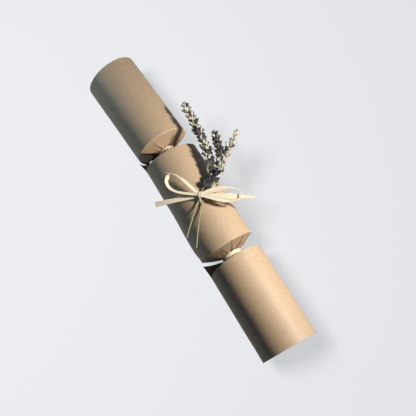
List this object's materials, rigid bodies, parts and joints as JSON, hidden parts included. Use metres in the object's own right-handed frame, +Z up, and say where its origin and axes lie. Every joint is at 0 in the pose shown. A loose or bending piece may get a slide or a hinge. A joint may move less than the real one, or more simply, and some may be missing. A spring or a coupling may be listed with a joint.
{
  "type": "christmas cracker",
  "caption": "Kraft card christmas cracker with gathered, tied necks, open handles, a snap and contents inside, dressed with a raffia bow and dried lavender.",
  "frame": {"origin": "middle of the barrel's seam flat, on the surface that the cracker lies on", "axes": "+X along the cracker from its left handle to its right one, +Y across it, +Z up"},
  "size_m": [0.3043, 0.0923, 0.0595],
  "materials": {
    "kraft_card": "matte brown kraft card with flecks",
    "raffia": "dry cream raffia with long fibres",
    "dried_lavender": "dried lavender, straw and grey purple",
    "adhesive_tape": "clear double sided tape",
    "snap_card": "grey board",
    "snap_patch": "dark rough friction patch",
    "tissue_paper": "thin coloured tissue",
    "motto_paper": "plain white paper",
    "turned_wood": "pale turned wood",
    "dried_glue": "cloudy set glue"
  },
  "bodies": {
    "barrel": {"barrel_tube": "kraft_card", "barrel_seam_tape": "adhesive_tape", "barrel_left_tabs": "kraft_card", "barrel_right_tabs": "kraft_card", "glue_dot": "dried_glue", "lavender_tall_sprig": "dried_lavender", "lavender_middle_sprig": "dried_lavender", "lavender_right_sprig": "dried_lavender", "bow_knot": "raffia", "bow_left_loop": "raffia", "bow_right_loop": "raffia", "bow_left_tail": "raffia", "bow_right_tail": "raffia"},
    "left_neck": {"left_neck_gather": "kraft_card", "left_neck_tie": "raffia", "left_snap_strip": "snap_card", "left_snap_patch": "snap_patch"},
    "left_handle": {"left_handle_tube": "kraft_card", "left_handle_seam_tape": "adhesive_tape", "left_handle_tabs": "kraft_card"},
    "right_neck": {"right_neck_gather": "kraft_card", "right_neck_tie": "raffia", "right_snap_strip": "snap_card", "right_snap_patch": "snap_patch", "snap_band": "snap_card"},
    "right_handle": {"right_handle_tube": "kraft_card", "right_handle_seam_tape": "adhesive_tape", "right_handle_tabs": "kraft_card"},
    "crown": {"paper_crown": "tissue_paper"},
    "motto": {"motto_slip": "motto_paper"},
    "gift": {"gift_top_disc": "turned_wood", "gift_top_peg": "turned_wood"}
  },
  "joints": [
    {"name": "left_pull", "type": "slide", "parent": "barrel", "child": "left_neck", "axis": [-1, 0, 0], "range_m": [0, 0.09]},
    {"name": "left_bend", "type": "hinge", "parent": "left_neck", "child": "left_handle", "pos_m": [-0.05725, 0, 0.02449], "axis": [0, 0, 1], "range_deg": [-15, 4]},
    {"name": "right_pull", "type": "slide", "parent": "barrel", "child": "right_neck", "axis": [1, 0, 0], "range_m": [0, 0.09]},
    {"name": "right_bend", "type": "hinge", "parent": "right_neck", "child": "right_handle", "pos_m": [0.05575, 0, 0.02449], "axis": [0, 0, 1], "range_deg": [-7, 12]},
    {"name": "crown_slide", "type": "slide", "parent": "barrel", "child": "crown", "axis": [1, 0, 0], "range_m": [-0.012, 0.012]},
    {"name": "motto_slide", "type": "slide", "parent": "barrel", "child": "motto", "axis": [1, 0, 0], "range_m": [-0.017, 0.017]},
    {"name": "gift_slide", "type": "slide", "parent": "barrel", "child": "gift", "axis": [1, 0, 0], "range_m": [-0.05, 0.013]}
  ]
}
